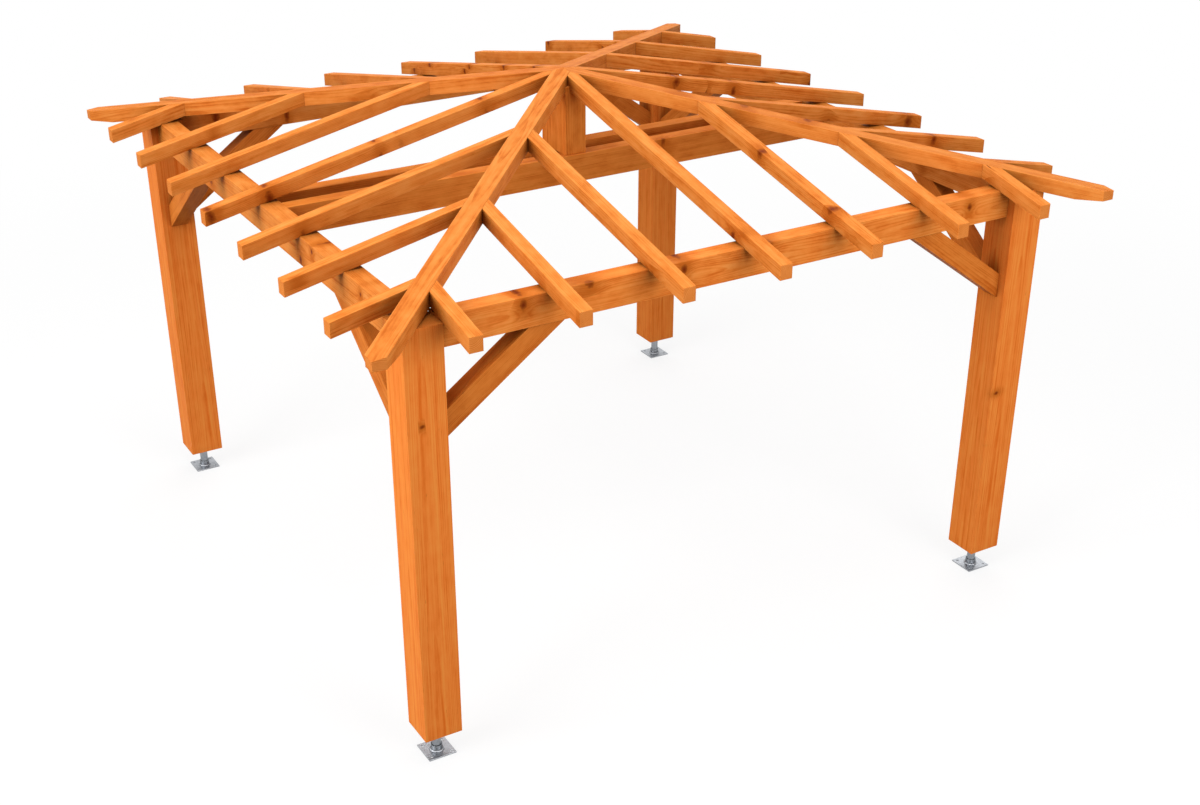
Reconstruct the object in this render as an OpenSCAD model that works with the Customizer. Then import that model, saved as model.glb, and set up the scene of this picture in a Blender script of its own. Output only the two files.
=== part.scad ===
// Garden pavilion: an open, square timber frame under a low hipped rafter roof.
// Millimetres. X runs along the front, Y from front to back, Z up.
// The origin is the middle of the plan on the ground.
// Each timber lies face to face with the ones that carry it: where it is notched,
// the notch is cut by the same block that the other timber is made from.

/* [Plan] */
// Length of each side, over the outer faces of the corner posts
plan_w = 3740; // [3200:20:4600]

/* [Corner posts] */
// Side of the square post
post_w = 200; // [160:5:230]
// Height of the post's underside above the ground
post_base_h = 145; // [120:5:190]
// How deep the hip rafters are notched over the outer corners of the posts
post_seat = 9; // [3:1:20]

/* [Wall beams] */
// Height of the upper faces of the wall beams and tie beams above the ground
wall_h = 2370; // [2200:10:2600]
// Width of the wall beam, which runs along the middle of the posts
beam_w = 105; // [90:5:140]
// Depth of the wall beam
beam_d = 155; // [120:5:190]

/* [Tie beams] */
// Width of each tie beam
tie_w = 88; // [70:2:110]
// Depth of each tie beam
tie_d = 158; // [120:2:180]
// Clear gap between the two tie beams
tie_gap = 124; // [90:2:170]

/* [King post] */
// Width of the king post along the tie beams
king_w = 130; // [110:5:180]
// How far the king post's sides stand in from the outer faces of the tie beams
king_inset = 16; // [0:2:30]
// How deep the hip rafters are cut level over the king post
king_seat = 6; // [2:1:20]

/* [Roof] */
// Slope of the roof in degrees
roof_slope = 12.1; // [9:0.1:16]
// How far the rafters run out past the outer faces of the posts
overhang = 250; // [150:10:400]
// Width of a rafter
rafter_w = 70; // [55:1:90]
// Depth of a rafter, square to its slope
rafter_d = 75; // [65:1:95]
// How deep the rafters are notched over the outer edge of the wall beams
birdsmouth = 4; // [2:1:12]

/* [Hip rafters] */
// Width of a hip rafter
hip_w = 100; // [80:1:120]
// Depth of a hip rafter, square to its slope
hip_d = 78; // [70:1:95]
// Height of a hip tail's end face, left by the level cut under the tail
hip_tail_d = 57; // [45:1:65]

/* [Knee braces] */
// Width of a brace
brace_w = 100; // [70:1:105]
// Depth of a brace, square to its length
brace_d = 110; // [80:1:130]
// How far the toe of a front or back brace reaches along the wall beam, from the post's face
brace_run = 640; // [500:5:800]
// How far the heel of a front or back brace lies below the wall beam
brace_drop = 460; // [380:5:600]
// How far the toe of a left or right brace reaches along the wall beam, from the post's face
side_run = 690; // [500:5:800]
// How far the heel of a left or right brace lies below the wall beam
side_drop = 505; // [380:5:600]

/* [Post feet] */
// Side of the square foot plate
plate_w = 150; // [120:5:180]
// Thickness of the foot plate
plate_t = 8; // [5:1:12]
// Distance of a bolt hole's centre from the edges of the plate
bolt_edge = 22; // [16:1:30]
// Diameter of a bolt hole
bolt_d = 14; // [10:1:18]
// Diameter of the lower tube, which is welded to the plate
tube_d = 60; // [50:1:76]
// Height of the lower tube above the ground
tube_h = 40; // [30:5:90]
// Diameter of the upper tube, which bears on the post's underside
stem_d = 48; // [34:1:49]
// Height of the weld bead around the lower tube
weld_h = 8; // [4:1:10]
// Diameter of the pin that stands up inside the post
pin_d = 20; // [14:1:26]
// Length of the pin above the post's underside
pin_l = 120; // [80:5:160]
// Clearance around the pin, and above it, in the post's bore
pin_gap = 0.4; // [0.3:0.1:1]

/* [Hidden] */
SIDES = ["front", "right", "back", "left"];
CORNERS = ["front_right", "back_right", "back_left", "front_left"];
JACKS = ["long", "middle", "short"];
HANDS = ["left", "right"];

TIMBER = [0.93, 0.53, 0.20];
TIMBER_SHADE = [0.84, 0.43, 0.15];
ZINC = [0.68, 0.70, 0.72];
// Longer than anything it cuts
FAR = 3 * plan_w;

// Plan lines, each a distance from the middle
post_out = plan_w / 2;
post_in = post_out - post_w;
post_mid = post_out - post_w / 2;
beam_out = post_mid + beam_w / 2;
beam_in = post_mid - beam_w / 2;
eave = post_out + overhang;

// Heights of the roof planes: each plane drops by roof_fall for every unit from the middle
roof_fall = tan(roof_slope);
rafter_plumb = rafter_d / cos(roof_slope);
apex_h = wall_h - birdsmouth + rafter_plumb + roof_fall * beam_out;
eave_h = apex_h - roof_fall * eave;

// A hip runs along the diagonal, so it falls by less for each unit of its own length
hip_fall = roof_fall / sqrt(2);
hip_plumb = hip_d * sqrt(1 + hip_fall * hip_fall);
// Its flat top is set down so that its two upper edges lie in the roof planes
hip_set = hip_fall * hip_w / 2;
// The sides of two hips meet the middle line of a roof plane at this distance
hip_side = hip_w / sqrt(2);

// The jacks share the wall evenly with the common rafter, the last against the post
jack_step = (2 * post_in - rafter_w) / (2 * len(JACKS));

// Underside of a hip at the middle; the king post's top and the posts' tops are let into it
hip_under = apex_h - hip_set - hip_plumb;
post_top = hip_under - roof_fall * post_out + post_seat;
king_d = tie_gap + 2 * tie_w - 2 * king_inset;
king_top = hip_under + king_seat;

// Turns a piece drawn at the front to another side, and one at the front right
// corner to another corner
module at_side(i) {
    rotate([0, 0, 90 * i]) children();
}

// A block from one corner to the other
module block(low, high) {
    translate(low) cube(high - low);
}

// A profile drawn in the upright plane along Y, made w wide about x
module upright(x, w) {
    translate([x - w / 2, 0, 0]) rotate([90, 0, 90]) linear_extrude(w) children();
}

// Timbers as plain blocks, which also cut the notches of what sits on them
module post_block() {
    block([post_in, -post_out, post_base_h], [post_out, -post_in, post_top]);
}

module beam_block() {
    block([-post_in, -beam_out, wall_h - beam_d], [post_in, -beam_in, wall_h]);
}

module king_block() {
    block([-king_w / 2, -king_d / 2, wall_h], [king_w / 2, king_d / 2, king_top]);
}

// Cuts a hip or a common rafter level where it lies on the king post
module on_king_post() {
    difference() {
        children();
        king_block();
    }
}

// Feet: a bolted plate, a welded tube, a thinner tube and a pin up into the post
module foot() {
    hole = plate_w / 2 - bolt_edge;
    color(ZINC) translate([post_mid, -post_mid, 0]) {
        difference() {
            translate([-plate_w / 2, -plate_w / 2, 0]) cube([plate_w, plate_w, plate_t]);
            for (x = [-hole, hole], y = [-hole, hole])
                translate([x, y, -1]) cylinder(h = plate_t + 2, d = bolt_d, $fn = 48);
        }
        translate([0, 0, plate_t]) cylinder(h = weld_h, d1 = tube_d + 2 * weld_h, d2 = tube_d, $fn = 64);
        cylinder(h = tube_h, d = tube_d, $fn = 64);
        cylinder(h = post_base_h, d = stem_d, $fn = 64);
        cylinder(h = post_base_h + pin_l, d = pin_d, $fn = 48);
    }
}

module corner_post() {
    color(TIMBER_SHADE) difference() {
        post_block();
        translate([post_mid, -post_mid, post_base_h - 1])
            cylinder(h = pin_l + pin_gap + 1, d = pin_d + 2 * pin_gap, $fn = 48);
    }
}

// Wall beams run from post to post, and the ties between two of them
module wall_beam() {
    color(TIMBER_SHADE) beam_block();
}

module tie_beam(back) {
    near = back ? tie_gap / 2 : -tie_gap / 2 - tie_w;
    color(TIMBER_SHADE)
        block([-beam_in, near, wall_h - tie_d], [beam_in, near + tie_w, wall_h]);
}

module king_post() {
    color(TIMBER_SHADE) king_block();
}

// A brace leans from the face of a post to the underside of the wall beam. The ones at the
// front and back are shorter than the ones at the left and right.
module knee_brace(side) {
    run = side ? side_run : brace_run;
    drop = side ? side_drop : brace_drop;
    lean = atan2(drop, run);
    color(TIMBER_SHADE)
        translate([-post_in, -post_mid + brace_w / 2, wall_h - beam_d]) rotate([90, 0, 0])
        linear_extrude(brace_w) polygon([
            [0, -drop],
            [run, 0],
            [run - brace_d / sin(lean), 0],
            [0, -drop + brace_d / cos(lean)]
        ]);
}

// The ground covered by the roof's front quarter, clear of the two hips
module front_quarter() {
    linear_extrude(FAR) polygon([
        [0, -hip_side], [FAR, -FAR - hip_side], [-FAR, -FAR - hip_side]
    ]);
}

// A rafter of the front roof plane at x, cut against the hips and notched over the beam
module rafter(x) {
    color(TIMBER) difference() {
        intersection() {
            upright(x, rafter_w) polygon([
                [-eave, eave_h],
                [0, apex_h],
                [0, apex_h - rafter_plumb],
                [-eave, eave_h - rafter_plumb]
            ]);
            front_quarter();
        }
        beam_block();
    }
}

module common_rafter() {
    rafter(0);
}

module jack_rafters(j) {
    for (hand = [-1, 1]) rafter(hand * (j + 1) * jack_step);
}

// The hip at the front right corner, mitred with the others over the king post
// and cut to an arris where the two eaves meet
module hip_rafter() {
    top = apex_h - hip_set;
    reach = sqrt(2) * eave;
    color(TIMBER) difference() {
        intersection() {
            rotate([0, 0, -135]) upright(0, hip_w) polygon([
                [0, top],
                [reach, top - hip_fall * reach],
                [reach, top - hip_fall * reach - hip_plumb],
                [0, top - hip_plumb]
            ]);
            block([0, -eave, eave_h - hip_tail_d], [eave, 0, apex_h]);
        }
        post_block();
    }
}

for (i = [0:3]) {
    at_side(i) foot();
    at_side(i) corner_post();
    on_king_post() at_side(i) hip_rafter();
    at_side(i) wall_beam();
    at_side(i) knee_brace(i % 2 == 1);
    at_side(i) mirror([1, 0, 0]) knee_brace(i % 2 == 1);
    on_king_post() at_side(i) common_rafter();
    for (j = [0:len(JACKS) - 1])
        at_side(i) jack_rafters(j);
}
tie_beam(false);  // front_tie
tie_beam(true);  // back_tie
king_post();
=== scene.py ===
"""Looks of the garden pavilion: stained timber, galvanised feet and the studio round it.

Lengths are metres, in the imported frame: X along the front, Y from front to back, Z up.
"""
import logging
import math
from dataclasses import dataclass
from enum import Enum
from typing import Any

import bmesh
import bpy
import numpy as np
from mathutils import Matrix, Vector


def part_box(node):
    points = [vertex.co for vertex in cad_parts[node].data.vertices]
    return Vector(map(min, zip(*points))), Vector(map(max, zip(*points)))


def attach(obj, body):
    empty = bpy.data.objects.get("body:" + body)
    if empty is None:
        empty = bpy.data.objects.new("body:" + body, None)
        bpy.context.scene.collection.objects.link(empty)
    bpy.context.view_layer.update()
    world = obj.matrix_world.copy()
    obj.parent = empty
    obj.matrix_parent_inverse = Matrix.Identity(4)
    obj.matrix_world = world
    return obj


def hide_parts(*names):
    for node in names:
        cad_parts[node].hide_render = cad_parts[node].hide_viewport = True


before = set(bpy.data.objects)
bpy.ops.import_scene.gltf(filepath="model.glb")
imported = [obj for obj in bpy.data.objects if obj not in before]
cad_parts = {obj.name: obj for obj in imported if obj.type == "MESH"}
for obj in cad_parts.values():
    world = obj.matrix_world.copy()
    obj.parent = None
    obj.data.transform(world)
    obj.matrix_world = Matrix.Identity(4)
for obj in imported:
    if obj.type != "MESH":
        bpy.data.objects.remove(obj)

Colour = tuple[float, float, float]
# Points nearer to each other than this are one point
SAME_POINT = 1e-5
# A timber of a pair starts at least this far from the middle between the two
PAIR_GAP = 0.1
# From this half thickness on, a timber is cut with the pith inside it
THICK = 0.08
log = logging.getLogger("pavilion")


class Side(Enum):
    """The four sides of the frame."""

    FRONT = "front"
    RIGHT = "right"
    BACK = "back"
    LEFT = "left"


class Corner(Enum):
    """The four corners of the frame."""

    FRONT_RIGHT = "front_right"
    BACK_RIGHT = "back_right"
    BACK_LEFT = "back_left"
    FRONT_LEFT = "front_left"


class Signal:
    """A value socket in a node tree, on which plain arithmetic adds Math nodes."""

    def __init__(self, bench: "Bench", socket: bpy.types.NodeSocket) -> None:
        """Wraps one output socket of a node on the bench."""
        self.bench = bench
        self.socket = socket

    def math(self, operation: str, *values: Any) -> "Signal":
        """Adds one Math node.

        Args:
            operation: Blender's name of the operation, such as "MULTIPLY".
            values: the operands in order, each a number or a signal.

        Returns:
            The node's result.
        """
        sockets = dict(enumerate(values))
        return self.bench.value("ShaderNodeMath", sockets, operation=operation)

    def __add__(self, other: Any) -> "Signal":
        """This plus other."""
        return self.math("ADD", self, other)

    def __radd__(self, other: Any) -> "Signal":
        """Other plus this."""
        return self.math("ADD", other, self)

    def __sub__(self, other: Any) -> "Signal":
        """This minus other."""
        return self.math("SUBTRACT", self, other)

    def __rsub__(self, other: Any) -> "Signal":
        """Other minus this."""
        return self.math("SUBTRACT", other, self)

    def __mul__(self, other: Any) -> "Signal":
        """This times other."""
        return self.math("MULTIPLY", self, other)

    def __rmul__(self, other: Any) -> "Signal":
        """Other times this."""
        return self.math("MULTIPLY", other, self)

    def __truediv__(self, other: Any) -> "Signal":
        """This divided by other."""
        return self.math("DIVIDE", self, other)

    def __rtruediv__(self, other: Any) -> "Signal":
        """Other divided by this."""
        return self.math("DIVIDE", other, self)

    def __abs__(self) -> "Signal":
        """This without its sign."""
        return self.math("ABSOLUTE", self)

    def sign(self) -> "Signal":
        """1 where this is above zero, and -1 where it is below."""
        return self.math("SIGN", self)

    def at_most(self, limit: float) -> "Signal":
        """This, or the limit where this is more."""
        return self.math("MINIMUM", self, limit)

    def fraction(self) -> "Signal":
        """The part of this after the point."""
        return self.math("FRACT", self)

    def root(self) -> "Signal":
        """The square root of this."""
        return self.math("SQRT", self)

    def falloff(self) -> "Signal":
        """The bell curve e to the minus this squared."""
        return self.math("EXPONENT", self * self * -1.0)

    def step(self, low: float, high: float, start: float = 0.0, end: float = 1.0) -> "Signal":
        """A smooth step from start, where this is low, to end, where it is high."""
        sockets = {"Value": self, "From Min": low, "From Max": high, "To Min": start, "To Max": end}
        return self.bench.value("ShaderNodeMapRange", sockets, interpolation_type="SMOOTHSTEP")


class Bench:
    """The node tree of one material or of the world."""

    def __init__(self, owner: bpy.types.Material | bpy.types.World) -> None:
        """Empties the owner's node tree and takes it.

        Args:
            owner: the material or the world.
        """
        owner.use_nodes = True
        self.tree = owner.node_tree
        self.tree.nodes.clear()

    def node(self, kind: str, sockets: dict[Any, Any] | None = None, **settings: Any) -> bpy.types.Node:
        """Adds a node of any type.

        Args:
            kind: Blender's name of the node type.
            sockets: a number, colour, signal or output socket for each input, by name or place.
            settings: the node's own settings, made before its sockets are filled. "stops" gives
                a ramp's stops as (place, colour).

        Returns:
            The new node.
        """
        made = self.tree.nodes.new(kind)
        stops = settings.pop("stops", None)
        for name, value in settings.items():
            setattr(made, name, value)
        if stops:
            ramp = made.color_ramp
            while len(ramp.elements) < len(stops):
                ramp.elements.new(1.0)
            for element, (place, colour) in zip(ramp.elements, stops):
                element.position = place
                element.color = (*colour, 1.0)
        for name, value in (sockets or {}).items():
            self.fill(made.inputs[name], value)
        return made

    def fill(self, target: bpy.types.NodeSocket, value: Any) -> None:
        """Links a signal or socket to an input, or sets the input's own value.

        Args:
            target: the input.
            value: the signal, output socket, number, vector or colour for it.
        """
        if isinstance(value, Signal):
            value = value.socket
        if isinstance(value, bpy.types.NodeSocket):
            self.tree.links.new(value, target)
        elif target.type == "RGBA" and len(value) == 3:
            target.default_value = (*value, 1.0)
        else:
            target.default_value = value

    def value(self, kind: str, sockets: dict[Any, Any], output: Any = 0, **settings: Any) -> Signal:
        """Adds a node and wraps one of its outputs for arithmetic."""
        return Signal(self, self.node(kind, sockets, **settings).outputs[output])

    def split(self, vector: bpy.types.NodeSocket) -> tuple[Signal, Signal, Signal]:
        """The three parts of a vector."""
        parts = self.node("ShaderNodeSeparateXYZ", {0: vector})
        return tuple(Signal(self, out) for out in parts.outputs)

    def join(self, *parts: Any) -> bpy.types.NodeSocket:
        """A vector from up to three parts, each a number or a signal."""
        return self.node("ShaderNodeCombineXYZ", dict(enumerate(parts))).outputs[0]

    def noise(self, vector: bpy.types.NodeSocket, detail: float = 2.0, rough: float = 0.5) -> Signal:
        """Smooth noise from 0 to 1, whose blobs are about one unit of the vector across."""
        sockets = {"Vector": vector, "Scale": 1.0, "Detail": detail, "Roughness": rough}
        return self.value("ShaderNodeTexNoise", sockets)

    def blend(self, factor: Any, low: Any, high: Any, mode: str = "MIX") -> bpy.types.NodeSocket:
        """A colour between low, at factor 0, and high, at factor 1."""
        sockets = {0: factor, 6: low, 7: high}
        return self.node("ShaderNodeMix", sockets, data_type="RGBA", blend_type=mode).outputs[2]

    def ramp(self, factor: Signal, *stops: tuple[float, Colour]) -> bpy.types.NodeSocket:
        """A colour picked along a ramp of stops."""
        return self.node("ShaderNodeValToRGB", {0: factor}, stops=stops).outputs[0]

    def shown(self) -> Signal:
        """Tells the rays that make the picture from light on its way between surfaces.

        Returns:
            1 for what the camera sees, straight, mirrored or through glass, and 0 for the rest.
        """
        path = self.node("ShaderNodeLightPath")
        ways = ("Camera", "Glossy", "Transmission")
        return sum(Signal(self, path.outputs[f"Is {way} Ray"]) for way in ways).at_most(1.0)


@dataclass(frozen=True)
class Grain:
    """How the grain lies in one timber, or in a pair of timbers that mirror each other.

    Attributes:
        centre: the middle of the timber, or a point midway between the pair.
        along: unit vector along the fibres.
        half: half the timber's width and half its depth.
        apart: how far each timber of a pair lies from the centre; 0 for a single one.
        pith: where the heart of the tree lies, across the timber from its middle.
        shift: how far along the tree the timber was cut, so that no two are alike.
        tone: how much lighter the timber is than the others.
    """

    centre: Vector
    along: Vector
    half: tuple[float, float]
    apart: float
    pith: tuple[float, float]
    shift: float
    tone: float

    @staticmethod
    def axes(along: Vector) -> Matrix:
        """The turn from the pattern's own axes to the timber's.

        Args:
            along: unit vector along the fibres.

        Returns:
            A matrix that takes Z to the fibres' direction and keeps X level.
        """
        level = Vector((0.0, 0.0, 1.0)) if abs(along.z) < 0.9 else Vector((0.0, 1.0, 0.0))
        across = level.cross(along).normalized()
        return Matrix((across, along.cross(across), along)).transposed()

    @staticmethod
    def edge_along(solid: bmesh.types.BMesh) -> Vector:
        """The direction of a timber's longest edge.

        Args:
            solid: the timber, whose flat faces are joined on the way.

        Returns:
            A unit vector.
        """
        flat = math.radians(1.0)
        bmesh.ops.remove_doubles(solid, verts=solid.verts, dist=SAME_POINT)
        bmesh.ops.dissolve_limit(solid, angle_limit=flat, verts=solid.verts, edges=solid.edges)
        longest = max(solid.edges, key=lambda edge: edge.calc_length())
        start, end = longest.verts
        return (end.co - start.co).normalized()

    @staticmethod
    def of(node: bpy.types.Object, draw: np.random.Generator) -> "Grain":
        """Reads the grain off a CAD timber: the fibres follow the solid's longest edge.

        The pith is inside a thick timber, and beside a thin one.

        Args:
            node: the timber's CAD object, left as it is.
            draw: the source of the random cut.

        Returns:
            The timber's grain.
        """
        solid = bmesh.new()
        solid.from_mesh(node.data)
        along = Grain.edge_along(solid)
        places = np.array([vert.co[:] for vert in solid.verts])
        solid.free()
        axes = np.array(Grain.axes(along))
        local = places @ axes
        middle = (local.min(axis=0) + local.max(axis=0)) / 2.0
        local = local - middle
        near, far = np.abs(local[:, 0]).min(), np.abs(local[:, 0]).max()
        apart = (near + far) / 2.0 if near > PAIR_GAP else 0.0
        half = (far - apart, np.abs(local[:, 1]).max())
        thick = min(half)
        inside = thick > THICK
        reach = draw.uniform(0.0, 0.4 * thick) if inside else max(half) + draw.uniform(0.02, 0.07)
        angle = draw.uniform(0.0, 2.0 * math.pi)
        pith = (reach * math.cos(angle), reach * math.sin(angle))
        shift = draw.uniform(0.0, 50.0)
        tone = draw.uniform(-0.5, 0.5)
        return Grain(Vector(axes @ middle), along, half, apart, pith, shift, tone)


@dataclass(frozen=True)
class Stem:
    """Where a point of a timber lay in the tree.

    Attributes:
        bench: the node tree.
        u: distance from the pith across the timber.
        v: distance from the pith the other way across.
        along: distance along the tree.
        radius: distance from the pith.
    """

    bench: Bench
    u: Signal
    v: Signal
    along: Signal
    radius: Signal

    def noise(self, wide: float, long: float, detail: float = 2.0, rough: float = 0.5,
              aside: float = 0.0) -> Signal:
        """Noise from 0 to 1 that is stretched along the fibres.

        Args:
            wide: size of its blobs across the fibres.
            long: size of its blobs along them.
            detail: how many finer noises lie over the first.
            rough: how strong the finer ones are.
            aside: moves the pattern aside, so that two of them don't agree.

        Returns:
            The noise.
        """
        u = self.u / wide
        if aside:
            u = u + aside
        return self.bench.noise(self.bench.join(u, self.v / wide, self.along / long), detail, rough)


@dataclass(frozen=True)
class TimberFinish:
    """Planed softwood under an orange-brown stain.

    Attributes:
        light: colour of the pale early wood.
        middle: colour between.
        deep: colour of the dark late wood.
        rim: colour round a knot, and of checks in the wood.
        heart: colour of a knot.
        cut: colour of the end grain.
        shade: painted shade, what the colour is multiplied by deep in a nook between timbers, where other
            timbers close the surface in.
        reach: how far from the next timber that starts.
        tone: how light the wood is on the whole; 0.5 is its middle colour.
        spread: how much the tone differs from timber to timber.
        ring: distance between two growth rings.
        late_wood: how much darker the outer part of each ring is.
        bulge: how far the rings bend aside round a knot.
        taper: how much thinner the tree grows in a metre.
        band: width of the broad lighter and darker bands.
        banding: how strongly the bands show.
        figure: how strongly the soft figure shows along the timber.
        streaks: how strongly the fine streaks show.
        fibres: how strongly the fibres show.
        knot: radius of a large knot.
        knotless: the share of places for a branch that have none.
        wander: how far the fibres wander from a straight line.
        cover: how much the colours round a knot and of the end grain hide the wood's own.
        wear: how pale the arrises are worn.
        relief: how deep the fibres, knots and checks lie in the surface.
    """

    light: Colour = (0.87, 0.320, 0.072)
    middle: Colour = (0.80, 0.246, 0.041)
    deep: Colour = (0.62, 0.140, 0.014)
    rim: Colour = (0.55, 0.138, 0.014)
    heart: Colour = (0.20, 0.027, 0.003)
    cut: Colour = (0.84, 0.285, 0.064)
    shade: Colour = (0.49, 0.51, 0.40)
    reach: float = 0.20
    tone: float = 0.52
    spread: float = 0.10
    ring: float = 0.0060
    late_wood: float = 0.34
    bulge: float = 0.010
    taper: float = 0.006
    band: float = 0.030
    banding: float = 0.8
    figure: float = 1.35
    streaks: float = 0.8
    fibres: float = 0.25
    knot: float = 0.034
    knotless: float = 0.62
    wander: float = 0.040
    cover: float = 0.85
    wear: float = 0.35
    relief: float = 0.0012

    def dress(self, name: str, grain: Grain) -> bpy.types.Material:
        """Makes the material of one timber.

        Args:
            name: the material's name.
            grain: how the grain lies in it.

        Returns:
            The material.
        """
        material = bpy.data.materials.new(name)
        bench = Bench(material)
        across, up, along = self.place(bench, grain)
        stem = self.stem(grain, across, up, along)
        near_knot, heart, branch_ring = self.knots(stem)
        late = self.rings(stem, near_knot)
        end = self.end_grain(bench, grain)
        band = stem.noise(wide=self.band, long=1.9, detail=1.0)
        streak = stem.noise(wide=0.007, long=0.40, detail=3.0)
        fibre = stem.noise(wide=0.0016, long=0.07)
        figure = stem.noise(wide=0.045, long=0.11, detail=3.0, rough=0.6)
        # Each noise lies evenly round a half, so that it darkens as much as it lightens
        tone = (self.tone + grain.tone * self.spread + (band - 0.5) * self.banding
                + (streak - 0.5) * self.streaks + (figure - 0.5) * self.figure
                + (fibre - 0.5) * self.fibres - (late - 0.4) * self.late_wood - near_knot * 0.45)
        wood = bench.ramp(tone, (0.0, self.deep), (0.5, self.middle), (1.0, self.light))
        check = self.checks(stem)
        wood = bench.blend(check, wood, self.rim)
        wood = bench.blend(near_knot * self.cover, wood, self.rim)
        branch = bench.blend(branch_ring, self.heart, self.rim)
        wood = bench.blend(heart, wood, branch)
        sawn_tone = 0.95 - late * 0.75 + (fibre - 0.5) * 0.5 + (figure - 0.5) * 0.5
        sawn = bench.ramp(sawn_tone, (0.0, self.deep), (1.0, self.cut))
        wood = bench.blend(end * self.cover, wood, sawn)
        wood = bench.blend(self.arris(bench, grain, across, up) * self.wear, wood, self.light)
        # Painted shade: the colour is darkened where other timbers close the surface in, standing in for
        # the shade in the nooks.
        wood = bench.blend(self.nook_painted_shade(bench), wood, self.shade, mode="MULTIPLY")
        height = (fibre * 0.5 + streak * 0.3 - late * 0.3) * (1.0 - end * 0.6)
        height = height - heart * 0.4 - check * 0.8
        bump = bench.node("ShaderNodeBump", {"Height": height, "Strength": 0.35, "Distance": self.relief})
        rough = 0.52 + (streak - 0.5) * 0.2 - heart * 0.08 + end * 0.12
        shader = bench.node("ShaderNodeBsdfPrincipled", {
            "Base Color": wood, "Roughness": rough, "Normal": bump.outputs[0],
            "Specular IOR Level": 0.02})
        bench.node("ShaderNodeOutputMaterial", {"Surface": shader.outputs[0]})
        return material

    @staticmethod
    def place(bench: Bench, grain: Grain) -> tuple[Signal, Signal, Signal]:
        """Distances across, up and along a timber from its middle.

        In a pair, each timber is measured from its own middle and cut from another length of
        the tree.

        Args:
            bench: the node tree.
            grain: how the grain lies.

        Returns:
            The three distances.
        """
        coords = bench.node("ShaderNodeTexCoord").outputs["Object"]
        turn = Grain.axes(grain.along).to_euler()
        local = bench.node("ShaderNodeMapping", {
            "Vector": coords, "Location": grain.centre, "Rotation": turn}, vector_type="TEXTURE")
        across, up, along = bench.split(local.outputs[0])
        if grain.apart:
            hand = across.sign()
            across = across - hand * grain.apart
            along = along + hand * 7.3
        return across, up, along + grain.shift

    def stem(self, grain: Grain, across: Signal, up: Signal, along: Signal) -> Stem:
        """Measures from the pith, which wanders along the timber.

        Args:
            grain: how the grain lies.
            across: distance across the timber from its middle.
            up: distance up the timber from its middle.
            along: distance along the tree.

        Returns:
            The place in the tree.
        """
        bench = across.bench
        drift_u, drift_v = (
            bench.noise(bench.join(across * 3.0, up * 3.0, along * 0.8 + start)) - 0.5
            for start in (0.0, 31.0))
        u = across - grain.pith[0] + drift_u * self.wander
        v = up - grain.pith[1] + drift_v * self.wander
        return Stem(bench, u, v, along, (u * u + v * v).root())

    def rings(self, stem: Stem, near_knot: Signal) -> Signal:
        """Growth rings: each darkens slowly outwards and ends sharply.

        Args:
            stem: the place in the tree.
            near_knot: how near a knot is, 0 to 1.

        Returns:
            How much of the wood is late wood, 0 to 1.
        """
        radius = stem.radius + near_knot * self.bulge + stem.along * self.taper
        uneven = stem.bench.noise(stem.bench.join(radius * 28.0, 0.0, 0.0), 1.0)
        phase = (radius / self.ring + uneven * 4.0).fraction()
        return phase.step(0.30, 0.90) * phase.step(0.92, 1.0, 1.0, 0.0)

    def knots(self, stem: Stem) -> tuple[Signal, Signal, Signal]:
        """Knots: branches that grow straight out from the pith.

        The stem is wrapped round a cylinder of random cells, and each cell may hold one branch,
        in the direction of its seed. A point's distance from the branch's axis is found by
        Pythagoras from its distance to the side, which is the cross product with the direction,
        and its distance along the stem. Branches grow thicker outwards.

        Args:
            stem: the place in the tree.

        Returns:
            How near the knot is, the knot itself, and the paler ring inside it, each 0 to 1.
        """
        bench, u, v = stem.bench, stem.u, stem.v
        # The cylinder's radius in cells, and a cell's length along the stem
        cylinder, apart = 0.5, 0.42
        wrapped = bench.join(u / stem.radius * cylinder, v / stem.radius * cylinder, stem.along / apart)
        cells = bench.node("ShaderNodeTexVoronoi", {
            "Vector": wrapped, "Scale": 1.0, "Randomness": 0.9}, voronoi_dimensions="3D")
        seed_u, seed_v, seed_along = bench.split(cells.outputs["Position"])
        chance, girth, _ = bench.split(cells.outputs["Color"])
        sideways = (u * seed_v - v * seed_u) / (seed_u * seed_u + seed_v * seed_v).root()
        length = stem.along - seed_along * apart
        there = chance.step(self.knotless, self.knotless + 0.04)
        size = self.knot * (0.35 + 0.65 * girth) * (0.6 + stem.radius * 4.5).at_most(1.2)
        distance = (sideways * sideways * 0.6 + length * length).root() / size
        ragged = stem.noise(wide=0.016, long=0.022, detail=3.0)
        edge = distance + (ragged - 0.5) * 0.9
        # Where edge is 1 lies the knot's outline; its glow in the wood reaches out to about 2
        heart = edge.step(0.35, 0.95, 1.0, 0.0) * there
        near = (edge / 2.1).falloff() * there
        ring = edge.step(0.05, 0.40) * edge.step(0.55, 0.72, 1.0, 0.0)
        return near, heart, ring * 0.25

    @staticmethod
    def checks(stem: Stem) -> Signal:
        """Short dark checks and resin streaks along the fibres, here and there, 0 to 1."""
        where = stem.noise(wide=0.05, long=0.18, detail=1.0, aside=9.0).step(0.58, 0.68)
        return stem.noise(wide=0.0035, long=0.055, detail=1.0).step(0.68, 0.76) * where * 0.7

    def nook_painted_shade(self, bench: Bench) -> Signal:
        """How closed in by other timbers the surface is, 0 to 1: the mask of the painted shade in nooks.
        """
        sky = bench.value("ShaderNodeAmbientOcclusion", {"Distance": self.reach}, output="AO", samples=6)
        return (1.0 - sky).step(0.0, 0.62)

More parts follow.
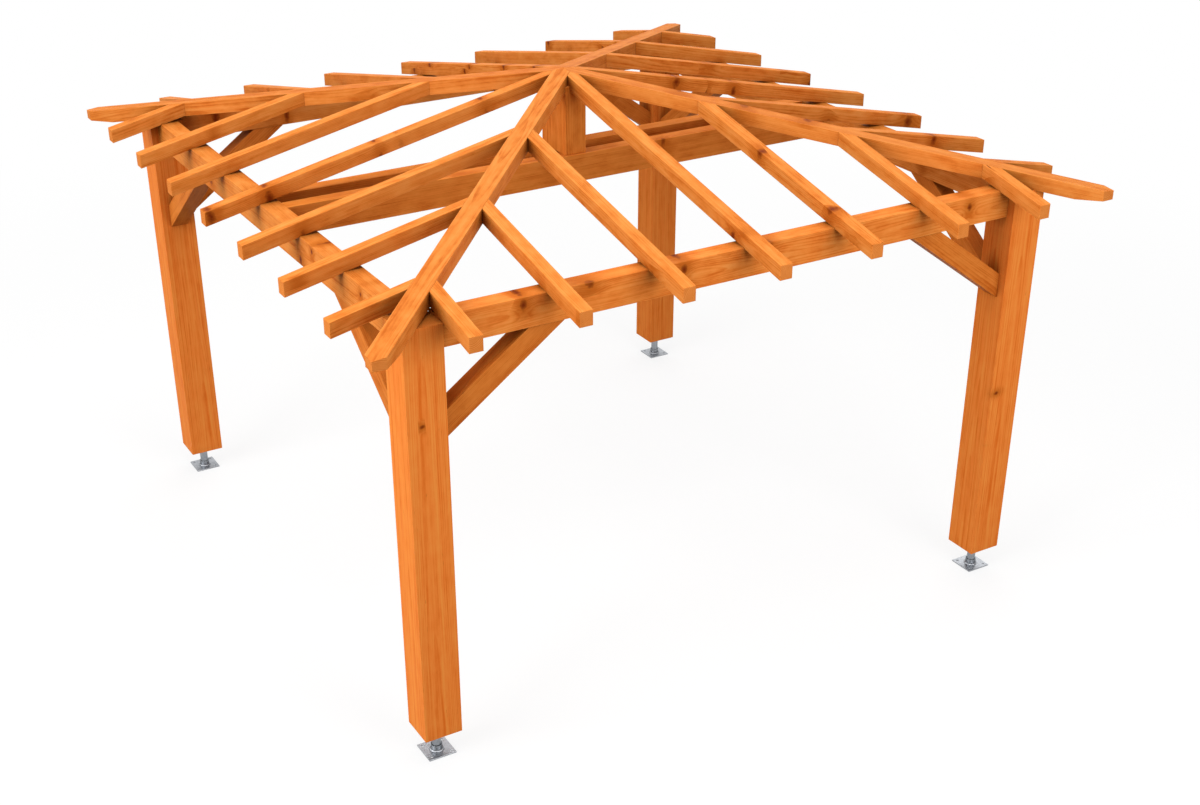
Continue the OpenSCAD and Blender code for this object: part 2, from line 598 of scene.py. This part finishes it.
    @staticmethod
    def end_grain(bench: Bench, grain: Grain) -> Signal:
        """Where the surface cuts across the fibres.

        Args:
            bench: the node tree.
            grain: how the grain lies.

        Returns:
            1 where the surface faces along the fibres, and 0 on the long faces.
        """
        normal = bench.node("ShaderNodeNewGeometry").outputs["Normal"]
        facing = bench.value("ShaderNodeVectorMath", {0: normal, 1: grain.along},
                             output="Value", operation="DOT_PRODUCT")
        return abs(facing).step(0.55, 0.75)

    @staticmethod
    def arris(bench: Bench, grain: Grain, across: Signal, up: Signal) -> Signal:
        """Wear along a timber's four long edges, broken up by noise.

        Args:
            bench: the node tree.
            grain: how the grain lies.
            across: distance across the timber from its middle.
            up: distance up the timber from its middle.

        Returns:
            The wear, 0 to 1.
        """
        inset = (grain.half[0] - abs(across)) + (grain.half[1] - abs(up))
        patchy = bench.noise(bench.join(across * 90.0, up * 90.0, across + up), 3.0)
        return inset.step(0.0005, 0.0055, 1.0, 0.0) * patchy.step(0.35, 0.60)


@dataclass(frozen=True)
class ZincFinish:
    """Hot-dip galvanised steel, satin, with faint crystals.

    Attributes:
        pale: colour of the lighter crystals.
        dull: colour of the darker crystals.
        crystals: how many crystals lie along a metre.
        clouds: how many duller clouds lie along a metre.
        grit: how many fine bumps lie along a metre.
        relief: how deep the surface is uneven.
    """

    pale: Colour = (0.46, 0.475, 0.50)
    dull: Colour = (0.27, 0.28, 0.30)
    crystals: float = 110.0
    clouds: float = 22.0
    grit: float = 600.0
    relief: float = 0.0008

    def dress(self, name: str) -> bpy.types.Material:
        """Makes the material, from small irregular crystals under a cloudy dullness.

        Args:
            name: the material's name.

        Returns:
            The material.
        """
        material = bpy.data.materials.new(name)
        bench = Bench(material)
        coords = bench.node("ShaderNodeTexCoord").outputs["Object"]
        crystal = bench.node("ShaderNodeTexVoronoi", {"Vector": coords, "Scale": self.crystals})
        shade, _, _ = bench.split(crystal.outputs["Color"])
        cloud = bench.value("ShaderNodeTexNoise", {"Vector": coords, "Scale": self.clouds, "Detail": 4.0})
        grit = bench.value("ShaderNodeTexNoise", {"Vector": coords, "Scale": self.grit, "Detail": 2.0})
        tone = 0.5 + (shade - 0.5) * 0.35 + (cloud - 0.5) * 0.9
        colour = bench.ramp(tone, (0.0, self.dull), (1.0, self.pale))
        bump = bench.node("ShaderNodeBump", {
            "Height": cloud * 0.6 + grit * 0.2, "Strength": 0.3, "Distance": self.relief})
        shader = bench.node("ShaderNodeBsdfPrincipled", {
            "Base Color": colour, "Metallic": 1.0, "Roughness": 0.34 + (cloud - 0.5) * 0.2,
            "Normal": bump.outputs[0]})
        bench.node("ShaderNodeOutputMaterial", {"Surface": shader.outputs[0]})
        return material


def ease_edges(piece: bpy.types.Object, width: float, sharpness: float) -> None:
    """Rounds a piece's sharp edges by a modifier.

    Args:
        piece: the piece.
        width: width of the rounding.
        sharpness: the least angle between two faces, in degrees, that makes their edge sharp.
    """
    bevel = piece.modifiers.new("eased_edges", "BEVEL")
    bevel.width = width
    bevel.segments = 2
    bevel.limit_method = "ANGLE"
    bevel.angle_limit = math.radians(sharpness)


@dataclass
class Timbers:
    """A set of CAD timbers that share one finish.

    Attributes:
        names: the CAD nodes.
        finish: how they are stained.
        seed: start of the random cuts.
        ease: how far each arris is rounded.
    """

    names: list[str]
    finish: TimberFinish
    seed: int
    ease: float = 0.0025

    def dress(self) -> None:
        """Merges each CAD timber's loose triangles, rounds its arrises and stains it."""
        draw = np.random.default_rng(self.seed)
        for name in self.names:
            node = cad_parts[name]
            grain = Grain.of(node, draw)
            node.modifiers.new("merge", "WELD").merge_threshold = SAME_POINT
            ease_edges(node, self.ease, sharpness=20.0)
            node.data.materials.clear()
            node.data.materials.append(self.finish.dress(f"stained_{name}", grain))
            log.info("%s: fibres along (%.2f, %.2f, %.2f)", name, *grain.along)


def grid_faces(rows: int, columns: int) -> np.ndarray:
    """Quads between the neighbours in a grid of points, which closes on itself along each row.

    Args:
        rows: number of rows, stored one after another.
        columns: number of points in a row; the last is next to the first.

    Returns:
        Four point numbers for each quad.
    """
    column = np.arange(columns)
    below = np.arange(rows - 1)[:, None] * columns
    beside = (column + 1) % columns
    return np.stack([below + column, below + beside, below + columns + beside,
                     below + columns + column], axis=-1).reshape(-1, 4)


def raised(outline: np.ndarray, heights: np.ndarray) -> np.ndarray:
    """Gives each row of a grid of plan points its height.

    Args:
        outline: the plan points, as rows of points, or a single row for all heights.
        heights: one height for each row.

    Returns:
        The points in space, row after row.
    """
    plan = np.broadcast_to(outline, (len(heights),) + outline.shape[-2:])
    height = np.broadcast_to(heights[:, None, None], plan.shape[:2] + (1,))
    return np.concatenate([plan, height], axis=-1).reshape(-1, 3)


def rounded(line: np.ndarray, cut: float, steps: int) -> np.ndarray:
    """Rounds the corners of an open line.

    Each corner gives way to a parabola, from a point that lies cut before it to one that lies cut
    after it: (1 - t) squared times the first, plus 2 t (1 - t) times the corner, plus t squared
    times the last, with t from 0 to 1. On a short stretch the cut is a third of its length.

    Args:
        line: the corners, one in each row; the first and last are its ends and stay.
        cut: how far from a corner its rounding starts.
        steps: points on each rounding.

    Returns:
        The points of the rounded line, one in each row.
    """
    stretch = np.diff(line, axis=0)
    length = np.linalg.norm(stretch, axis=1, keepdims=True)
    piece = stretch * np.minimum(cut / length, 1.0 / 3.0)
    corner = line[1:-1, None, :]
    first = corner - piece[:-1, None, :]
    last = corner + piece[1:, None, :]
    t = np.linspace(0.0, 1.0, steps)[None, :, None]
    bends = (1 - t) ** 2 * first + 2 * t * (1 - t) * corner + t ** 2 * last
    return np.concatenate([line[:1], bends.reshape(-1, 2), line[-1:]])


@dataclass
class PostFoot:
    """A welded and galvanised post foot: plate, lower tube, weld bead, upper tube and pin.

    Attributes:
        corner: the corner of the frame that it stands under.
        plate_size: side of the square plate.
        plate_thick: thickness of the plate.
        plate_steps: points along each side of a quarter of the plate.
        hole_in: distance of a bolt hole's centre from the plate's edges.
        hole_radius: radius of a bolt hole.
        hole_ease: width of the chamfer round a bolt hole.
        tube_radius: radius of the lower tube.
        tube_top: height of the lower tube's rim.
        bore_radius: radius of the lower tube's bore at its rim.
        bore_deep: how far one sees into the gap between the two tubes.
        stem_radius: radius of the upper tube.
        stem_top: height of the post's underside, where the upper tube ends.
        pin_radius: radius of the pin inside the post.
        pin_ease: width of the chamfer on the pin's end.
        turned_steps: points round the tubes.
        weld_leg: how far the weld bead reaches up the tube and out over the plate.
        weld_waves: number of ripples round the weld bead.
        weld_sunk: how far the bead's two edges are sunk into the tube and the plate.
        ease: how far the edges of the steel are rounded.
    """

    corner: Corner
    plate_size: float = 0.150
    plate_thick: float = 0.008
    plate_steps: int = 12
    hole_in: float = 0.022
    hole_radius: float = 0.007
    hole_ease: float = 0.0006
    tube_radius: float = 0.030
    tube_top: float = 0.040
    bore_radius: float = 0.0268
    bore_deep: float = 0.0045
    stem_radius: float = 0.024
    stem_top: float = 0.145
    pin_radius: float = 0.010
    pin_ease: float = 0.002
    turned_steps: int = 96
    weld_leg: float = 0.008
    weld_waves: int = 62
    weld_sunk: float = 0.002
    ease: float = 0.0008

    def build(self, plate: bpy.types.Material, tube: bpy.types.Material) -> bpy.types.Object:
        """Makes the foot as one piece, in place of its CAD node.

        Args:
            plate: the finish of the plate and the weld.
            tube: the finish of the tubes and the pin, darker than the plate's as painted shade under the
                post.

        Returns:
            The piece.
        """
        name = f"{self.corner.value}_foot"
        mesh = self.skin(name)
        mesh.materials.append(plate)
        mesh.materials.append(tube)
        piece = bpy.data.objects.new(f"{name}_steel", mesh)
        bpy.context.scene.collection.objects.link(piece)
        ease_edges(piece, self.ease, sharpness=70.0)
        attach(piece, "root")
        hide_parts(name)
        log.info("%s: %d faces", piece.name, len(mesh.polygons))
        return piece

    def skin(self, name: str) -> bpy.types.Mesh:
        """Joins the foot's sheets into one mesh, at the place of its CAD node.

        Args:
            name: the CAD node.

        Returns:
            The mesh, with material 0 on the plate and the weld, and 1 on the tubes and the pin.
        """
        low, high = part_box(name)
        middle = np.array([(low.x + high.x) / 2.0, (low.y + high.y) / 2.0, 0.0])
        solid = bmesh.new()
        sheets = [(self.weld_bead(), 0), (self.plate_rim(), 0), (self.turned_parts(high.z), 1)]
        sheets += [(self.plate_quarter(x, y), 0) for x in (-1.0, 1.0) for y in (-1.0, 1.0)]
        for (points, faces), slot in sheets:
            sheet = bpy.data.meshes.new("sheet")
            sheet.from_pydata((points + middle).tolist(), [], faces.tolist())
            sheet.polygons.foreach_set("material_index", np.full(len(faces), slot, dtype=np.int32))
            solid.from_mesh(sheet)
            bpy.data.meshes.remove(sheet)
        bmesh.ops.remove_doubles(solid, verts=solid.verts, dist=SAME_POINT)
        bmesh.ops.recalc_face_normals(solid, faces=solid.faces)
        mesh = bpy.data.meshes.new(f"{name}_steel")
        solid.to_mesh(mesh)
        solid.free()
        mesh.shade_smooth()
        mesh.set_sharp_from_angle(angle=math.radians(38.0))
        return mesh

    def turned_parts(self, pin_top: float) -> tuple[np.ndarray, np.ndarray]:
        """Both tubes and the pin, turned in one.

        A line of radius over height is carried round the axis: a point is radius times cosine,
        radius times sine, and height.

        Args:
            pin_top: height of the pin's end.

        Returns:
            Points and faces.
        """
        inside_plate = self.plate_thick / 2.0
        bore_floor = self.tube_top - self.bore_deep
        line = np.array([
            [0.0, inside_plate],
            [self.tube_radius, inside_plate],
            [self.tube_radius, self.tube_top],
            [self.bore_radius, self.tube_top],
            [self.bore_radius - self.ease, bore_floor],
            [self.stem_radius, bore_floor],
            [self.stem_radius, self.stem_top],
            [self.pin_radius, self.stem_top],
            [self.pin_radius, pin_top - self.pin_ease],
            [self.pin_radius - self.pin_ease, pin_top],
            [0.0, pin_top]])
        radius, height = rounded(line, self.ease, steps=4).T
        angle = np.linspace(0.0, 2.0 * math.pi, self.turned_steps, endpoint=False)
        circle = np.stack([np.cos(angle), np.sin(angle)], axis=-1)
        return raised(radius[:, None, None] * circle, height), grid_faces(len(radius), len(angle))

    def weld_bead(self) -> tuple[np.ndarray, np.ndarray]:
        """The weld bead in the corner between plate and tube.

        In the section, the distance from the corner is the bead's leg, swollen a little in the
        middle by a sine of twice the slope, plus a ripple: the size of a sine of the angle round
        the tube, held back towards both toes, so that each ripple is a crescent. A slower wave
        makes the bead uneven.

        Returns:
            Points and faces.
        """
        past_toe = 0.35
        angle = np.linspace(0.0, 2.0 * math.pi, self.weld_waves * 6, endpoint=False)
        slope = np.linspace(-past_toe, math.pi / 2.0 + past_toe, 13)[:, None]
        lag = np.cos(2.0 * slope) * 0.8
        ripple = np.abs(np.sin(angle * self.weld_waves / 2.0 + lag))
        uneven = 0.05 * np.sin(3.0 * angle + 0.7) + 0.04 * np.sin(7.0 * angle)
        reach = self.weld_leg * (0.90 + uneven + 0.07 * np.sin(2.0 * slope) + 0.07 * ripple)
        ring = np.ones((1, len(angle)))
        in_tube = ring * (self.tube_radius - self.weld_sunk)
        in_plate = ring * (self.plate_thick - self.weld_sunk)
        radius = np.concatenate([in_tube, self.tube_radius + reach * np.cos(slope), in_tube])
        height = np.concatenate([in_plate, self.plate_thick + reach * np.sin(slope), in_plate])
        points = np.stack([radius * np.cos(angle), radius * np.sin(angle), height], axis=-1)
        return points.reshape(-1, 3), grid_faces(len(radius), len(angle))

    def plate_quarter(self, x_side: float, y_side: float) -> tuple[np.ndarray, np.ndarray]:
        """A quarter of the plate, with its bolt hole.

        A line is carried round the hole: in over the underside from the quarter's outline, up
        the hole's wall, and out over the top. Between the rim of the hole and the outline each
        point is a mix of both, along the ray from the hole's centre.

        Args:
            x_side: -1 or 1, the side of the plate's middle that it lies on.
            y_side: the same for the other direction.

        Returns:
            Points and faces.
        """
        half = self.plate_size / 2.0
        centre = np.array([half - self.hole_in, half - self.hole_in])
        step = np.linspace(0.0, 1.0, self.plate_steps, endpoint=False)
        none, full = np.zeros_like(step), np.ones_like(step)
        outline = half * np.stack([np.concatenate([step, full, 1.0 - step, none]),
                                   np.concatenate([none, step, full, 1.0 - step])], axis=-1)
        ray = outline - centre
        ray = ray / np.linalg.norm(ray, axis=1, keepdims=True)
        edge, top = self.hole_ease, self.plate_thick
        reach = self.hole_radius + np.array([0.0, edge, 0.0, 0.0, edge, 0.0])
        mixed = np.array([1.0, 0.0, 0.0, 0.0, 0.0, 1.0])[:, None, None]
        plan = (1.0 - mixed) * (centre + reach[:, None, None] * ray) + mixed * outline
        heights = np.array([0.0, 0.0, edge, top - edge, top, top])
        return raised(plan * np.array([x_side, y_side]), heights), grid_faces(len(heights), len(outline))

    def plate_rim(self) -> tuple[np.ndarray, np.ndarray]:
        """The plate's four narrow sides: its outline, from the underside up to the top.

        Returns:
            Points and faces.
        """
        half = self.plate_size / 2.0
        step = np.linspace(-half, half, 2 * self.plate_steps, endpoint=False)
        near, far = np.full_like(step, -half), np.full_like(step, half)
        outline = np.stack([np.concatenate([step, far, -step, near]),
                            np.concatenate([near, step, far, -step])], axis=-1)
        return raised(outline, np.array([0.0, self.plate_thick])), grid_faces(2, len(outline))


def direction(azimuth: float, elevation: float) -> Vector:
    """The direction to a place that is seen at an azimuth, from the front round to the right.

    Args:
        azimuth: in degrees.
        elevation: over the floor, in degrees.

    Returns:
        A unit vector.
    """
    turn, rise = math.radians(azimuth), math.radians(elevation)
    return Vector((math.sin(turn) * math.cos(rise), -math.cos(turn) * math.cos(rise), math.sin(rise)))


@dataclass(frozen=True)
class Lamp:
    """A square soft box, turned to the middle of the frame.

    Attributes:
        name: its name.
        azimuth: its direction in degrees, from the front round to the right.
        elevation: its height in degrees over the middle of the frame.
        distance: how far it is from there.
        size: its side.
        level: how brightly it alone lights a white surface there that faces it.
    """

    name: str
    azimuth: float
    elevation: float
    distance: float
    size: float
    level: float

    def build(self, middle: Vector) -> None:
        """Makes the lamp; its power is 4 pi times the level and the distance squared.

        Args:
            middle: the middle of the frame.
        """
        lamp = bpy.data.lights.new(self.name, "AREA")
        lamp.shape = "SQUARE"
        lamp.size = self.size
        lamp.energy = 4.0 * math.pi * self.level * self.distance ** 2
        holder = bpy.data.objects.new(self.name, lamp)
        away = direction(self.azimuth, self.elevation)
        holder.location = middle + away * self.distance
        holder.rotation_euler = away.to_track_quat("Z", "Y").to_euler()
        holder.visible_camera = False
        bpy.context.scene.collection.objects.link(holder)
        log.info("lamp %s: %.0f W", self.name, lamp.energy)


@dataclass(frozen=True)
class View:
    """The camera, to the left of the front and above the roof.

    Attributes:
        place: where it stands.
        azimuth: where it looks from, in degrees from the front round to the right.
        elevation: how far it looks down, in degrees.
        roll: its turn about the line of sight, in degrees.
        focal_length: in millimetres.
        shift: how far the middle of the picture lies from the line of sight, in picture widths.
        farthest: how far it sees.
    """

    place: tuple[float, float, float] = (-4.5276, -8.0247, 5.2732)
    azimuth: float = -30.249
    elevation: float = 28.531
    roll: float = -0.136
    focal_length: float = 50.29
    shift: tuple[float, float] = (0.010, 0.060)
    farthest: float = 200.0

    def build(self) -> None:
        """Makes the camera and gives it to the scene."""
        lens = bpy.data.cameras.new("camera")
        lens.lens = self.focal_length
        lens.shift_x, lens.shift_y = self.shift
        lens.clip_end = self.farthest
        camera = bpy.data.objects.new("camera", lens)
        back = direction(self.azimuth, self.elevation)
        level = (-back).to_track_quat("-Z", "Y").to_matrix()
        roll = Matrix.Rotation(math.radians(self.roll), 3, back)
        camera.rotation_mode = "QUATERNION"
        camera.rotation_quaternion = (roll @ level).to_quaternion()
        camera.location = self.place
        bpy.context.scene.collection.objects.link(camera)
        bpy.context.scene.camera = camera
        bpy.context.scene.view_settings.view_transform = "Standard"


@dataclass
class Studio:
    """The floor, the lights and the camera.

    Attributes:
        lamps: the large soft lamps round the object.
        lamps_at: height of the middle of the frame, where they point.
        sky_level: how brightly the sky alone lights a white surface that sees all of it.
        floor_size: half side of the floor.
        floor_grey: how much light the floor throws back at the object.
        floor_white: how much light it throws back at the camera, where it isn't its own.
        floor_shown: how much of the floor's whiteness is its own, and takes no shadow.
        floor_fade: the distances from the middle between which that grows to all of it, because
            the lamps fall off out there.
        view: the camera.
    """

    lamps: tuple[Lamp, ...] = (
        Lamp("left", azimuth=-80.0, elevation=24.0, distance=13.0, size=9.0, level=0.57),
        Lamp("front", azimuth=7.0, elevation=16.0, distance=8.5, size=4.0, level=0.275),
        Lamp("top", azimuth=-20.0, elevation=80.0, distance=12.0, size=6.0, level=0.28),
        Lamp("back", azimuth=140.0, elevation=50.0, distance=14.0, size=12.0, level=0.28))
    lamps_at: float = 1.2
    sky_level: float = 0.34
    floor_size: float = 80.0
    floor_grey: float = 0.16
    floor_white: float = 0.95
    floor_shown: float = 0.80
    floor_fade: tuple[float, float] = (3.5, 9.0)
    view: View = View()

    def build(self) -> None:
        """Makes all of it."""
        self.make_floor()
        for lamp in self.lamps:
            lamp.build(Vector((0.0, 0.0, self.lamps_at)))
        self.make_sky()
        self.view.build()

    def make_floor(self) -> None:
        """A pale floor: white to the camera, with the object's shadow on it."""
        s = self.floor_size
        mesh = bpy.data.meshes.new("floor")
        mesh.from_pydata([(-s, -s, 0), (s, -s, 0), (s, s, 0), (-s, s, 0)], [], [(0, 1, 2, 3)])
        floor = bpy.data.objects.new("floor", mesh)
        bpy.context.scene.collection.objects.link(floor)
        material = bpy.data.materials.new("pale_floor")
        bench = Bench(material)
        grey = bench.node("ShaderNodeBsdfDiffuse", {"Color": (self.floor_grey,) * 3})
        white = bench.node("ShaderNodeBsdfDiffuse", {"Color": (self.floor_white,) * 3})
        glow = bench.node("ShaderNodeEmission", {"Color": (1.0,) * 3, "Strength": 1.0})
        coords = bench.node("ShaderNodeTexCoord").outputs["Object"]
        far = bench.value("ShaderNodeVectorMath", {0: coords}, output="Value", operation="LENGTH")
        own = far.step(*self.floor_fade, self.floor_shown, 1.0)
        pale = bench.node("ShaderNodeMixShader", {0: own, 1: white.outputs[0], 2: glow.outputs[0]})
        mixed = bench.node("ShaderNodeMixShader", {
            0: bench.shown(), 1: grey.outputs[0], 2: pale.outputs[0]})
        bench.node("ShaderNodeOutputMaterial", {"Surface": mixed.outputs[0]})
        mesh.materials.append(material)

    def make_sky(self) -> None:
        """An even sky, white to the camera and in reflections."""
        world = bpy.data.worlds.new("studio")
        bpy.context.scene.world = world
        bench = Bench(world)
        strength = self.sky_level + bench.shown() * (1.0 - self.sky_level)
        sky = bench.node("ShaderNodeBackground", {"Color": (1.0,) * 3, "Strength": strength})
        bench.node("ShaderNodeOutputWorld", {"Surface": sky.outputs[0]})


def timbers() -> list[Timbers]:
    """Sorts the CAD timbers into sets, each with its own colours: the posts and the front beam lighter,
    the braces and the hips darker, and the ties and the king post darker as painted shade for the inside
    of the frame.

    Returns:
        The sets.
    """
    posts = [f"{corner.value}_post" for corner in Corner]
    beams = [f"{side.value}_beam" for side in Side]
    braces = [f"{side.value}_brace_{hand}" for side in Side for hand in ("left", "right")]
    middle = ["front_tie", "back_tie", "king_post"]
    rafters = [f"{side.value}_common_rafter" for side in Side]
    jacks = ("long", "middle", "short")
    rafters += [f"{side.value}_jack_rafters_{jack}" for side in Side for jack in jacks]
    hips = [f"{corner.value}_hip" for corner in Corner]
    plain = TimberFinish()
    warm = TimberFinish(
        light=(0.97, 0.314, 0.056), middle=(0.94, 0.248, 0.040), deep=(0.82, 0.172, 0.018),
        figure=0.9, banding=1.3, streaks=1.3, knot=0.014, knotless=0.92, wander=0.020, band=0.020)
    fair = TimberFinish(
        light=(0.96, 0.345, 0.074), middle=(0.89, 0.262, 0.044), deep=(0.73, 0.155, 0.016))
    dark = TimberFinish(
        light=(0.80, 0.250, 0.043), middle=(0.72, 0.196, 0.028), deep=(0.55, 0.117, 0.011),
        shade=(0.60, 0.63, 0.52))
    # Painted shade: darker colours for the ties and the king post, standing in for the shade inside the
    # frame; their nooks take less of the painted nook shade.
    painted_shade_inside = TimberFinish(
        light=(0.82, 0.272, 0.048), middle=(0.74, 0.212, 0.031), deep=(0.56, 0.124, 0.012),
        shade=(0.84, 0.86, 0.78))
    clear = TimberFinish(
        light=(0.83, 0.292, 0.062), middle=(0.75, 0.220, 0.036), deep=(0.57, 0.125, 0.0125),
        knotless=0.84)
    return [
        Timbers(posts, warm, seed=3),
        Timbers(beams[:1], fair, seed=4),
        Timbers(beams[1:], plain, seed=7),
        Timbers(braces, dark, seed=6),
        Timbers(middle, painted_shade_inside, seed=9),
        Timbers(rafters, plain, seed=8),
        Timbers(hips, clear, seed=14)]


def main() -> None:
    """Dresses the pavilion and sets up the studio."""
    logging.basicConfig(level=logging.INFO, format="%(name)s: %(message)s")
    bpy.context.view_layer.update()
    for timber_set in timbers():
        timber_set.dress()
    plate = ZincFinish().dress("zinc_plate")
    # Painted shade: the tubes and the pin get darker zinc colours than the plate, standing in for the
    # shade under the post.
    tube = ZincFinish(pale=(0.34, 0.36, 0.38), dull=(0.20, 0.21, 0.23)).dress("zinc_tube_painted_shade")
    for corner in Corner:
        PostFoot(corner).build(plate, tube)
    Studio().build()


if __name__ == "__main__":
    main()
